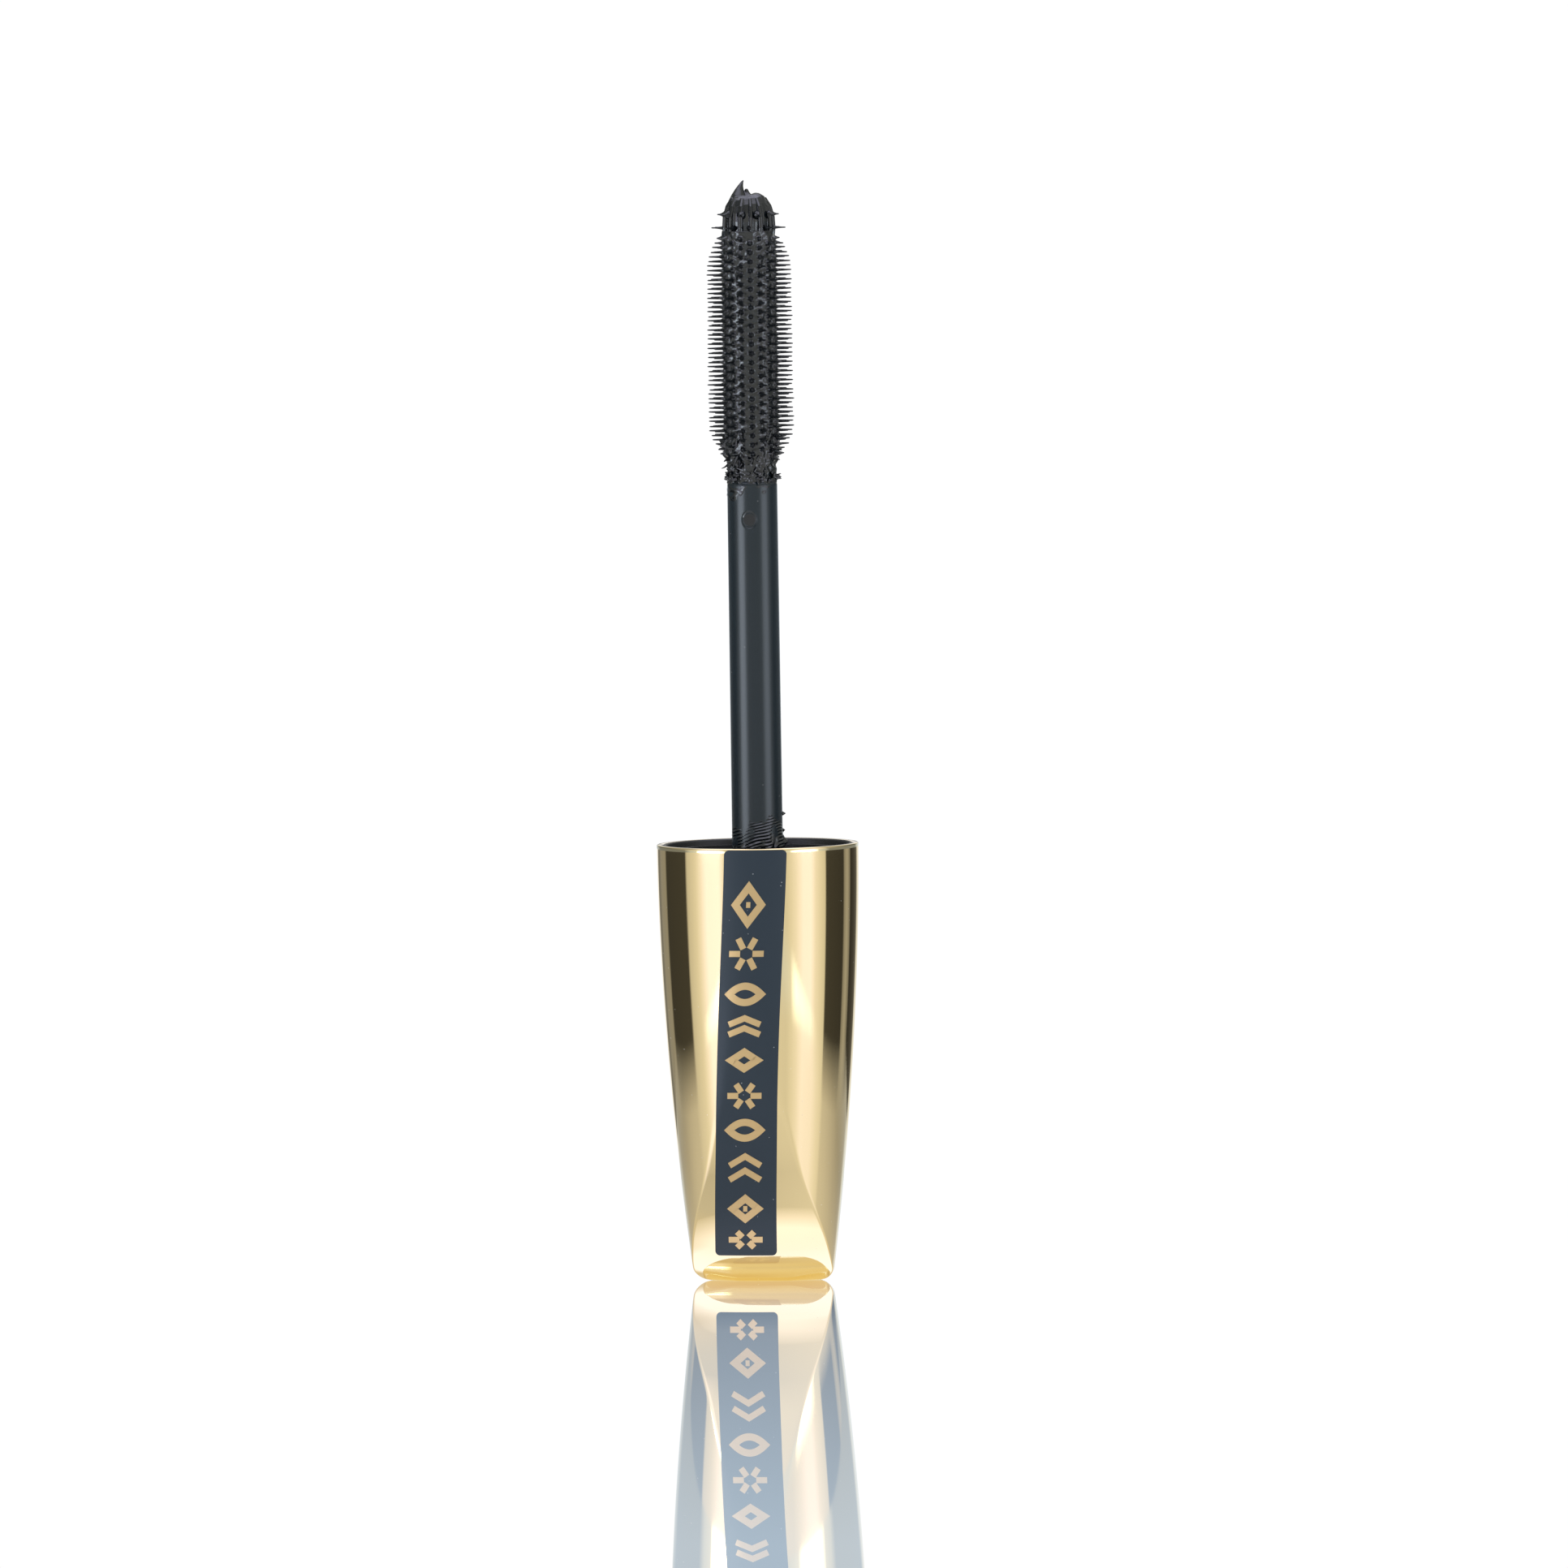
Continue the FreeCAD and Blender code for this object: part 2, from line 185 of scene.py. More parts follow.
CARDS_WAND = (
    (-180, 0.1), (-176, 0.1), (-172, 0.7), (-157, 0.5), (-148, 0.25), (-92, 0.25), (-84, 0.7), (-74, 0.9),
    (-67, 8.0), (-45, 8.0), (-37, 1.0), (-25, 0.75), (25, 0.75), (37, 1.0), (44, 5.0), (64, 4.8), (74, 0.9),
    (83, 0.7), (90, 0.3), (148, 0.3), (157, 0.8), (172, 0.9), (176, 0.1), (180, 0.1),
)
CARDS_TOP = ((-180, 0.6), (-70, 0.45), (-28, 0.44), (-8, 0.6), (20, 0.74), (60, 0.78), (110, 0.6), (180, 0.6))
CARDS_SKY = ((-180, 2.0), (180, 2.0))

rng = random.Random(7)


# ---------------------------------------------------------------- mesh helpers

def mesh_object(name, verts, faces, smooth=True):
    """New mesh object in the scene."""
    mesh = bpy.data.meshes.new(name)
    mesh.from_pydata([tuple(v) for v in verts], [], faces)
    mesh.validate()
    if smooth:
        mesh.polygons.foreach_set("use_smooth", [True] * len(mesh.polygons))
    mesh.update()
    obj = bpy.data.objects.new(name, mesh)
    bpy.context.scene.collection.objects.link(obj)
    return obj


def ring_faces(rows, columns):
    """Quads between rows of closed rings of `columns` points."""
    faces = []
    for i in range(rows - 1):
        for j in range(columns):
            a = i * columns + j
            b = i * columns + (j + 1) % columns
            faces.append((a, b, b + columns, a + columns))
    return faces


def closed_rings(name, rings, start=None, end=None):
    """Closed solid through a list of rings. start and end are the points that cap it."""
    columns = len(rings[0])
    verts = [p for ring in rings for p in ring]
    faces = ring_faces(len(rings), columns)
    last = (len(rings) - 1) * columns
    if start is not None:
        verts.append(start)
        centre = len(verts) - 1
        faces += [(centre, (j + 1) % columns, j) for j in range(columns)]
    if end is not None:
        verts.append(end)
        centre = len(verts) - 1
        faces += [(centre, last + j, last + (j + 1) % columns) for j in range(columns)]
    return mesh_object(name, verts, faces)


def smooth_through(points, t):
    """Value at t of a smooth curve through (t, value) points."""
    last = len(points) - 2
    i = 0
    while i < last and t > points[i + 1][0]:
        i += 1
    t0, a = points[i]
    t1, b = points[i + 1]
    slope = (b - a) / (t1 - t0)
    before = (a - points[i - 1][1]) / (t0 - points[i - 1][0]) if i > 0 else slope
    after = (points[i + 2][1] - b) / (points[i + 2][0] - t1) if i < last else slope
    in_tangent = (before + slope) / 2 if i > 0 else slope * 1.5 - after * 0.5
    out_tangent = (slope + after) / 2
    s = (t - t0) / (t1 - t0)
    h = t1 - t0
    return ((2 * s ** 3 - 3 * s ** 2 + 1) * a + (s ** 3 - 2 * s ** 2 + s) * h * in_tangent
            + (3 * s ** 2 - 2 * s ** 3) * b + (s ** 3 - s ** 2) * h * out_tangent)


def smoothstep(low, high, value):
    """0 at low and 1 at high with a smooth change between. low may be the larger one."""
    s = min(max((value - low) / (high - low), 0.0), 1.0)
    return s * s * (3 - 2 * s)


def soft_min(a, b, k):
    """The smaller of a and b, rounded over about k where they meet."""
    h = min(max(0.5 + 0.5 * (b - a) / k, 0.0), 1.0)
    return b + (a - b) * h - k * h * (1 - h)


def mix(a, b, t):
    return a + (b - a) * t


# ---------------------------------------------------------------- cap shape

def wall_r(z):
    """Radius of the round wall at a height."""
    drop = max(CAP_H - z, 0.0) / MM
    return RIM_R - FLARE * drop ** FLARE_POWER * MM


def face_d(z):
    """Distance of the slanted face in front of the axis at a height."""
    return smooth_through(FACE, z / MM) * MM


def ray_to_circle(direction, centre_y, radius):
    """Distance from the pole along a level direction to a circle centred on the Y axis."""
    q = POLE_Y - centre_y
    along = q * direction[1]
    return -along + math.sqrt(max(along * along - q * q + radius * radius, 0.0))


def ridge_angle(z):
    """Half angle, seen from the pole, of the slanted face at a height."""
    wall = wall_r(z)
    face = CROWN_CENTRE + face_d(z)
    y = (CROWN_CENTRE ** 2 + wall ** 2 - face ** 2) / (2 * CROWN_CENTRE)
    if y <= -wall:
        return 0.0
    return math.atan2(math.sqrt(wall ** 2 - y ** 2), POLE_Y - y)


def cap_ring_angles(z):
    """Angles of a ring's points, gathered where the ridges run."""
    ridge = max(ridge_angle(z), RIDGE_LEAST)
    angles = []
    for i in range(RING_FRONT):
        s = -1 + 2 * i / RING_FRONT
        angles.append(ridge * (0.5 * s + 0.5 * math.sin(math.pi / 2 * s)))
    for i in range(RING_BACK):
        t = i / RING_BACK
        share = 0.5 * t + 0.25 * (1 - math.cos(math.pi * t))
        angles.append(ridge + (2 * math.pi - 2 * ridge) * share)
    return angles


def side_distance(angle, z):
    """Distance from the pole to the cap's side at an angle and a height."""
    direction = (math.sin(angle), -math.cos(angle))
    wall = ray_to_circle(direction, 0.0, wall_r(z))
    face = ray_to_circle(direction, CROWN_CENTRE, CROWN_CENTRE + face_d(z))
    return soft_min(wall, face, RIDGE_SOFT)


def base_lift(x, y):
    """Height of the closed end's underside above its flat."""
    out = max(math.hypot(x, y - LAND_Y) - LAND_R, 0.0)
    return out * out / (2 * BASE_DOME_R)


def cap_ring(z, inset=0.0, at_z=None):
    """One ring of the cap's side. inset pulls it in, at_z places it at another height."""
    ring = []
    for angle in cap_ring_angles(z):
        turned = abs((angle + math.pi) % (2 * math.pi) - math.pi)
        past_ridge = smoothstep(0.55, 1.05, turned / ridge_angle(1 * MM))
        round_r = mix(FACE_EDGE_R, BASE_EDGE_R, past_ridge)
        cut = 0.0
        if inset == 0.0 and z < round_r:
            cut = round_r - math.sqrt(max(round_r ** 2 - (round_r - z) ** 2, 0.0))
        r = side_distance(angle, z) - cut - inset
        x = r * math.sin(angle)
        y = POLE_Y - r * math.cos(angle)
        lift = base_lift(x, y) * max(1 - z / LIFT_FADE, 0.0) if inset == 0.0 else 0.0
        ring.append(Vector((x, y, (z if at_z is None else at_z) + lift)))
    return ring


def shrink_ring(ring, share):
    """A ring of the closed end, between its edge and its middle."""
    made = []
    for p in ring:
        x = p.x * share
        y = POLE_Y + (p.y - POLE_Y) * share
        made.append(Vector((x, y, base_lift(x, y))))
    return made


def build_shell():
    """Shell skin, the index of its first black face and the number of black faces: the inside, which is not
    plated, and the lip's chamfer, whose black is painted shade.
    """
    edge = cap_ring(0.0)
    rings = [shrink_ring(edge, s) for s in (0.1, 0.25, 0.4, 0.55, 0.7, 0.82, 0.92, 0.97)]
    steps = 12
    rings += [cap_ring(BASE_EDGE_R * (1 - math.cos(math.pi / 2 * i / steps))) for i in range(steps)]
    rows = 150
    top = CAP_H - RIM_ROUND
    rings += [cap_ring(BASE_EDGE_R + (top - BASE_EDGE_R) * i / rows) for i in range(rows + 1)]
    for i in range(1, 5):
        a = math.pi / 2 * i / 4
        rings.append(cap_ring(top, RIM_ROUND * (1 - math.cos(a)), top + RIM_ROUND * math.sin(a)))
    inside_top = CAP_H - LIP_CHAMFER
    rings.append(cap_ring(top, WALL - LIP_CHAMFER, CAP_H))
    rings.append(cap_ring(top, WALL - LIP_CHAMFER * 0.3, CAP_H - LIP_CHAMFER * 0.3))
    rings.append(cap_ring(top, WALL, inside_top))
    down = 30
    for i in range(1, down + 1):
        rings.append(cap_ring(inside_top - (inside_top - FLOOR_WALL) * i / down, WALL))
    start = Vector((0, POLE_Y, 0))
    end = Vector((0, POLE_Y, FLOOR_WALL))
    # the lip's chamfer is black as painted shade where gold would catch light; below it the inside is not
    # plated
    unplated_and_shaded_rows = down + 2     # rows of faces from the lip's chamfer down
    first_inside = (len(rings) - 1 - unplated_and_shaded_rows) * len(edge)
    return closed_rings("shell_skin", rings, start, end), first_inside, unplated_and_shaded_rows * len(edge)


# ---------------------------------------------------------------- label

def front_depth(x, z):
    """How far the cap's front stands before the axis, at x and a height."""
    wall = math.sqrt(max(wall_r(z) ** 2 - x * x, 0.0))
    face = math.sqrt(max((CROWN_CENTRE + face_d(z)) ** 2 - x * x, 0.0)) - CROWN_CENTRE
    return soft_min(wall, face, RIDGE_SOFT)


def on_face(x, z, lift):
    """Point on the front of the cap, lifted off it by `lift`."""
    step = 0.05 * MM
    depth = front_depth(x, z)
    across = (front_depth(x + step, z) - front_depth(x - step, z)) / (2 * step)
    up = (front_depth(x, z + step) - front_depth(x, z - step)) / (2 * step)
    normal = Vector((-across, -1.0, -up)).normalized()
    return Vector((x, -depth, z)) + normal * lift


def label_centre(z):
    """Sideways place of the band's middle at a height."""
    return smooth_through([(h, x) for h, x, _ in LABEL_AXIS], z / MM) * MM


def label_half(z):
    """Half width of the band at a height, with its rounded corners."""
    half = smooth_through([(h, w) for h, _, w in LABEL_AXIS], z / MM) * MM
    end = min(z - LABEL_BOTTOM, LABEL_TOP - z)
    if end < LABEL_CORNER:
        half -= LABEL_CORNER - math.sqrt(max(LABEL_CORNER ** 2 - (LABEL_CORNER - end) ** 2, 0.0))
    return half


def build_label():
    """The band of film, a closed thin solid that follows the cap's front."""
    rows = [LABEL_BOTTOM + LABEL_CORNER * (1 - math.cos(math.pi / 2 * i / 6)) for i in range(6)]
    span = LABEL_TOP - LABEL_BOTTOM - 2 * LABEL_CORNER
    rows += [LABEL_BOTTOM + LABEL_CORNER + span * i / 130 for i in range(131)]
    rows += [LABEL_TOP - LABEL_CORNER * (1 - math.sin(math.pi / 2 * i / 6)) for i in range(1, 7)]
    columns = 28
    top, low = [], []
    for z in rows:
        for j in range(columns + 1):
            x = label_centre(z) + label_half(z) * (-1 + 2 * j / columns)
            top.append(on_face(x, z, LABEL_FILM))
            low.append(on_face(x, z, -LABEL_SINK))
    n = columns + 1
    count = len(top)
    faces = []
    for i in range(len(rows) - 1):
        for j in range(columns):
            a = i * n + j
            faces.append((a, a + 1, a + n + 1, a + n))
            faces.append((count + a, count + a + n, count + a + n + 1, count + a + 1))
    rim = [i * n for i in range(len(rows))] + [(len(rows) - 1) * n + j for j in range(1, n)]
    rim += [i * n + columns for i in range(len(rows) - 2, -1, -1)] + list(range(columns - 1, 0, -1))
    for k in range(len(rim)):
        a, b = rim[k], rim[(k + 1) % len(rim)]
        faces.append((a, b, count + b, count + a))
    obj = mesh_object("label_band", top + low, faces)
    sharpen(obj, 40)
    return obj


def sharpen(obj, degrees):
    """Keeps edges steeper than this sharp while the rest stays smooth."""
    obj.data.set_sharp_from_angle(angle=math.radians(degrees))


def ribbon(verts, faces, centre_z, line, width, closed=False):
    """Adds a flat foil stroke along (across, up) points around a height on the label."""
    n = len(line)
    first = len(verts)
    for i, (a, b) in enumerate(line):
        here = Vector((a, b))
        before = here - Vector(line[i - 1]) if (i > 0 or closed) else None
        after = Vector(line[(i + 1) % n]) - here if (i < n - 1 or closed) else None
        before = (before or after).normalized()
        after = (after or before).normalized()
        tangent = (before + after).normalized()
        mitre = 1 / max(tangent.dot(before), 0.4)
        side = Vector((-tangent.y, tangent.x)) * (width / 2 * mitre)
        for sign, lift in ((-1, 0.0), (-1, FOIL), (1, FOIL), (1, 0.0)):
            z = centre_z + b + side.y * sign
            x = label_centre(z) + motif_shift(centre_z) + a + side.x * sign
            verts.append(on_face(x, z, LABEL_FILM + lift))
    for i in range(n if closed else n - 1):
        p = first + 4 * i
        q = first + 4 * ((i + 1) % n)
        for k in range(4):
            faces.append((p + k, p + (k + 1) % 4, q + (k + 1) % 4, q + k))
    if not closed:
        faces.append((first, first + 1, first + 2, first + 3))
        end = first + 4 * (n - 1)
        faces.append((end + 3, end + 2, end + 1, end))


def motif_shift(z):
    """The ornaments sit left of the band's middle at the rim and come to it lower down."""
    return -0.45 * MM * smoothstep(4 * MM, 34 * MM, z)


def along(corners, closed=False, steps=5):
    """Points along straight strokes between corners."""
    line = []
    last = len(corners) if closed else len(corners) - 1
    for i in range(last):
        a, b = corners[i], corners[(i + 1) % len(corners)]
        line += [(mix(a[0], b[0], k / steps), mix(a[1], b[1], k / steps)) for k in range(steps)]
    if not closed:
        line.append(corners[-1])
    return line


def lozenge(verts, faces, z, half_w, half_h):
    """Open lozenge with a smaller solid one in the middle."""
    w = half_w - STROKE * 0.6
    h = half_h - STROKE * 0.6
    ribbon(verts, faces, z, along([(w, 0), (0, h), (-w, 0), (0, -h)], True), STROKE, True)
    if half_h > 1.3 * MM:
        ribbon(verts, faces, z, along([(-0.16 * w, 0), (0.16 * w, 0)], steps=2), STROKE * 0.8)


def rays(verts, faces, z, half_w, half_h):
    """Six foil strokes that point away from an empty middle."""
    for i in range(6):
        a = math.radians(60 * i)
        inner = (0.36 * half_w * math.cos(a), 0.36 * half_h * math.sin(a))
        outer = (half_w * math.cos(a), half_h * math.sin(a) * 1.12)
        ribbon(verts, faces, z, along([inner, outer]), STROKE * 0.85)


def leaf(verts, faces, z, half_w, half_h):
    """Two curved foil strokes that close to a leaf lying on its side."""
    reach = half_w - STROKE * 0.2
    rise = half_h - STROKE * 0.5
    upper = [(reach * s / 10, rise * (1 - (s / 10) ** 2)) for s in range(-10, 10)]
    lower = [(-x, -y) for x, y in upper]
    ribbon(verts, faces, z, upper + lower, STROKE, True)


def chevrons(verts, faces, z, half_w, half_h):
    """Two foil chevrons, one above the other."""
    reach = half_w - STROKE * 0.2
    for foot in (-half_h + STROKE * 0.45, -half_h + STROKE * 0.45 + half_h * 0.95):
        line = along([(-reach, foot), (0, foot + half_h * 0.62), (reach, foot)])
        ribbon(verts, faces, z, line, STROKE * 0.85)


def build_ornament():
    """The column of foil ornaments, four shapes in turn."""
    shapes = (lozenge, rays, leaf, chevrons)
    verts, faces = [], []
    for i, (z, half) in enumerate(MOTIFS):
        shapes[i % 4](verts, faces, z * MM, MOTIF_HALF, half * MM)
    return mesh_object("label_ornament", verts, faces, smooth=False)


# ---------------------------------------------------------------- wand

def wand_radius(z):
    """Radius of the wand at a height."""
    share = (z - WAND_TAPER_Z) / (WAND_TOP - WAND_TAPER_Z)
    return mix(WAND_R_LOW, WAND_R_HIGH, min(max(share, 0.0), 1.0))


def button_dip(angle, z):
    """How far the snap button and the groove round it lie under the wand's surface."""
    across = ((angle + math.pi) % (2 * math.pi) - math.pi) * WAND_R_HIGH
    away = math.hypot(across, (z - BUTTON_Z) * 0.87)
    groove = math.exp(-((away - BUTTON_R) / GROOVE_WIDTH) ** 2) * GROOVE_DEPTH
    inside = smoothstep(BUTTON_R, BUTTON_R * 0.7, away) * BUTTON_SINK
    return groove + inside


def build_wand():
    """The wand, with the snap button's mark and a rounded shoulder."""
    columns = 288
    zone_low, zone_high = BUTTON_ZONE
    heights = [wand_low[2] + (zone_low - wand_low[2]) * i / 60 for i in range(60)]
    heights += [mix(zone_low, zone_high, i / 80) for i in range(80)]
    heights += [mix(zone_high, WAND_TOP - WAND_SHOULDER, i / 8) for i in range(9)]
    rings = []
    for z in heights:
        near = abs(z - BUTTON_Z) < 1.2 * MM
        ring = []
        for j in range(columns):
            a = 2 * math.pi * j / columns
            r = wand_radius(z) - (button_dip(a, z) if near else 0.0)
            ring.append(Vector((r * math.sin(a), -r * math.cos(a), z)))
        rings.append(ring)
    for i in range(1, 9):
        a = math.pi / 2 * i / 8
        r = WAND_R_HIGH - WAND_SHOULDER * (1 - math.cos(a))
        z = WAND_TOP - WAND_SHOULDER + WAND_SHOULDER * math.sin(a)
        rings.append(level_ring(r, z, columns))
    return closed_rings("wand_skin", rings, Vector((0, 0, heights[0])), Vector((0, 0, WAND_TOP)))


def level_ring(r, z, columns):
    """Circle of points round the axis."""
    step = 2 * math.pi / columns
    return [Vector((r * math.sin(step * j), -r * math.cos(step * j), z)) for j in range(columns)]


# ---------------------------------------------------------------- brush

def bristle_tip_r(z):
    """Radius of the bristle tips: even along the brush, shorter at both ends."""
    low = min((z - FIRST_RING_Z) / (2.6 * MM), 1.0)
    high = min((LAST_RING_Z + 0.4 * MM - z) / (3.6 * MM), 1.0)
    return BRISTLE_R - 1.25 * MM * (1 - low) ** 1.7 - 1.4 * MM * (1 - high) ** 1.9


def bristle_places():
    """(height, angle, tip radius, root radius, taper) of every bristle."""
    step = 2 * math.pi / RING_BRISTLES
    places = []
    rings = int((LAST_RING_Z - FIRST_RING_Z) / RING_PITCH) + 1
    for i in range(rings):
        z = FIRST_RING_Z + i * RING_PITCH
        for k in range(RING_BRISTLES):
            angle = math.pi / 2 + step * (k + 0.5 * (i % 2))
            places.append((z, angle, bristle_tip_r(z), BRISTLE_ROOT_R, 1.0))
    for row, (z, tip, root) in enumerate(END_SPIKES):
        for k in range(RING_BRISTLES):
            angle = math.pi / 2 + step * (k + 0.5 * (row % 2))
            places.append((z * MM, angle, tip * MM, root * MM, SPIKE_TAPER))
    return places


def add_tube(verts, faces, centres, radii, sides):
    """Adds a closed round tube along centres, each with its own radius."""
    along = (centres[-1] - centres[0]).normalized()
    side = along.orthogonal().normalized()
    up = along.cross(side)
    first = len(verts)
    for centre, r in zip(centres, radii):
        for k in range(sides):
            a = 2 * math.pi * k / sides
            verts.append(centre + side * (r * math.cos(a)) + up * (r * math.sin(a)))
    rows = len(centres)
    faces += [tuple(first + v for v in face) for face in ring_faces(rows, sides)]
    faces.append(tuple(first + k for k in reversed(range(sides))))
    faces.append(tuple(first + (rows - 1) * sides + k for k in range(sides)))


def build_bristles():
    """Every bristle, each a little off its place and more so at the brush's lower end."""
    verts, faces = [], []
    shares = (0.0, 0.2, 0.35, 0.5, 0.75, 0.93, 0.985, 1.0)
    for z, angle, tip, root, taper in bristle_places():
        ragged = 1 + 3 * smoothstep(82 * MM, 78.5 * MM, z)
        aim = angle + rng.gauss(0, 0.012 * ragged)
        rise = rng.gauss(0, 0.02 * ragged) * MM
        base = BRISTLE_BASE_R if taper == 1.0 else SPIKE_BASE_R
        length = tip - base + rng.gauss(0, 0.03 * ragged) * MM
        out = Vector((math.sin(aim), -math.cos(aim), 0))
        centres = [out * (base + length * t) + Vector((0, 0, z + rise * t)) for t in shares]
        radii = [BRISTLE_TIP_R + (root - BRISTLE_TIP_R) * (1 - t) ** taper for t in shares]
        radii[-2] = BRISTLE_TIP_R * 0.8
        radii[-1] = BRISTLE_TIP_R * 0.3
        add_tube(verts, faces, centres, radii, 10)
    return mesh_object("bristles", verts, faces)


def build_shreds():
    """Ragged scraps of formula round the brush neck and among the lowest bristles."""
    verts, faces = [], []
    for _ in range(SHREDS):
        angle = rng.uniform(0, 2 * math.pi)
        z = 76.5 * MM + 4.2 * MM * rng.random() ** 1.5
        start = Vector((math.sin(angle), -math.cos(angle), 0)) * 2.3 * MM + Vector((0, 0, z))
        turned = angle + rng.gauss(0, 0.7)
        size = rng.uniform(0.25, 0.8) * (0.7 + 0.9 * smoothstep(77.5 * MM, 79 * MM, z)) * MM
        aim = Vector((math.sin(turned), -math.cos(turned), rng.gauss(0.1, 0.7)))
        bend = Vector((0, 0, rng.gauss(0, 0.3))) * size
        centres = [start + aim * (size * t) + bend * t * t for t in (0.0, 0.3, 0.6, 0.85, 1.0)]
        r = rng.uniform(0.09, 0.19) * MM
        add_tube(verts, faces, centres, [r * w for w in (1.3, 1.0, 0.7, 0.5, 0.15)], 7)
    return mesh_object("formula_shreds", verts, faces)


def build_barrel():
    """The sleeve's barrel, rounded at its top."""
    columns = 72
    rings = [level_ring(SLEEVE_R, z, columns) for z in (BARREL_LOW, SLEEVE_TOP - BARREL_ROUND)]
    for i in range(1, 7):
        a = math.pi / 2 * i / 6
        z = SLEEVE_TOP - BARREL_ROUND * (1 - math.sin(a))
        rings.append(level_ring(SLEEVE_R - BARREL_ROUND * (1 - math.cos(a)), z, columns))
    return closed_rings("brush_barrel", rings, Vector((0, 0, BARREL_LOW)), Vector((0, 0, SLEEVE_TOP)))


def lump(x, y, z, size):
    """Smooth noise from -1 to 1 with lumps of about `size` metres."""
    return noise.noise(Vector((x / size, y / size, z / size)))


def build_fill():
    """Formula between the bristles: it wets each bristle's foot and lies in uneven ridges."""
    columns = 300
    low = WAND_TOP - 0.3 * MM
    high = FILL_TOP
    rows = int((high - low) / FILL_ROW)
    step = 2 * math.pi / RING_BRISTLES
    rings = []
    for i in range(rows + 1):
        z = low + (high - low) * i / rows
        ring = []
        nearest = round((z - FIRST_RING_Z) / RING_PITCH)
        fill = mix(FILL_NECK_R, FILL_R, smoothstep(77.6 * MM, 79.2 * MM, z))
        rough = mix(0.20 * MM, 0.09 * MM, smoothstep(77.5 * MM, 80 * MM, z))
        for j in range(columns):
            a = 2 * math.pi * j / columns
            x = math.sin(a) * SLEEVE_R
            y = -math.cos(a) * SLEEVE_R
            r = fill + 0.10 * MM * lump(x, y, z, 1.1 * MM) + rough * lump(x + 1, y, z, 0.45 * MM)
            foot = 0.0
            for ring_index in (nearest - 1, nearest, nearest + 1):
                ring_z = FIRST_RING_Z + ring_index * RING_PITCH
                if ring_index < 0 or ring_z > LAST_RING_Z + 0.01 * MM:
                    continue
                shift = math.pi / 2 + step * 0.5 * (ring_index % 2)
                off = ((a - shift + step / 2) % step) - step / 2
                away = ((off * FILL_R) ** 2 + (z - ring_z) ** 2) / (WET_R * WET_R)
                foot = max(foot, math.exp(-away))
            r += WET_RISE * foot
            ring.append(Vector((r * math.sin(a), -r * math.cos(a), z)))
        rings.append(ring)
    return closed_rings("formula_fill", rings, Vector((0, 0, low)), Vector((0, 0, high)))


def remeshed(name, parts, voxel, smooth_steps):
    """One organic skin over several overlapping pieces."""
    bpy.ops.object.select_all(action="DESELECT")
    for p in parts:
        p.select_set(True)
    bpy.context.view_layer.objects.active = parts[0]
    bpy.ops.object.join()
    joined = parts[0]
    remesh = joined.modifiers.new("skin", "REMESH")
    remesh.mode = "VOXEL"
    remesh.voxel_size = voxel
    soften = joined.modifiers.new("soften", "SMOOTH")
    soften.iterations = smooth_steps
    soften.factor = 0.5
    graph = bpy.context.evaluated_depsgraph_get()
    mesh = bpy.data.meshes.new_from_object(joined.evaluated_get(graph))
    mesh.name = name
    mesh.polygons.foreach_set("use_smooth", [True] * len(mesh.polygons))
    made = bpy.data.objects.new(name, mesh)
    bpy.context.scene.collection.objects.link(made)
    bpy.data.objects.remove(joined)
    return made


def horn(name, path, columns=28):
    """Closed tapering body along (x, y, z, radius) points in millimetres."""
    rings = []
    for i, (x, y, z, r) in enumerate(path):
        before = Vector(path[max(i - 1, 0)][:3])
        after = Vector(path[min(i + 1, len(path) - 1)][:3])
        along = (after - before).normalized()
        side = along.cross(Vector((0, 1, 0))).normalized()
        front = side.cross(along)
        ring = []
        for j in range(columns):
            a = 2 * math.pi * j / columns
            p = Vector((x, y, z)) + side * (r * math.cos(a)) + front * (r * math.sin(a))
            ring.append(p * MM)
        rings.append(ring)
    start = Vector(path[0][:3]) * MM
    end = Vector(path[-1][:3]) * MM
    return closed_rings(name, rings, start, end)


# (x, y, height, radius) along each part of the formula on the tip
TIP_BODY = (
    (0.0, 0.0, 99.3, 2.1), (0.0, 0.0, 100.2, 2.15), (0.0, 0.0, 101.0, 2.18), (0.0, 0.0, 101.8, 2.12),
    (-0.04, 0.0, 102.6, 1.93), (-0.12, 0.0, 103.15, 1.66), (-0.16, 0.0, 103.45, 1.3),
)
TIP_PEAK = (
    (-0.9, -0.1, 102.1, 1.2), (-0.9, -0.1, 102.9, 0.98), (-0.86, -0.1, 103.5, 0.68),
    (-0.78, -0.08, 104.0, 0.42), (-0.66, -0.05, 104.4, 0.24), (-0.53, 0.0, 104.72, 0.12),
    (-0.42, 0.0, 104.9, 0.05),
)
TIP_SECOND = (
    (-0.05, 0.2, 102.6, 1.0), (-0.12, 0.2, 103.3, 0.55), (-0.16, 0.15, 103.8, 0.26),
    (-0.15, 0.1, 104.08, 0.12),
)
TIP_PLATEAU = (
    (0.75, -0.2, 102.3, 1.2), (0.85, -0.2, 103.0, 1.0), (0.9, -0.15, 103.45, 0.7), (0.92, -0.1, 103.6, 0.35),
)
# (angle, radius) of the soft vertical folds on the tip
FOLDS = (
    (-165, 0.26), (-130, 0.30), (-96, 0.24), (-66, 0.27), (-40, 0.20), (-12, 0.26), (14, 0.19), (38, 0.27),
    (70, 0.22), (95, 0.27), (130, 0.28),
)


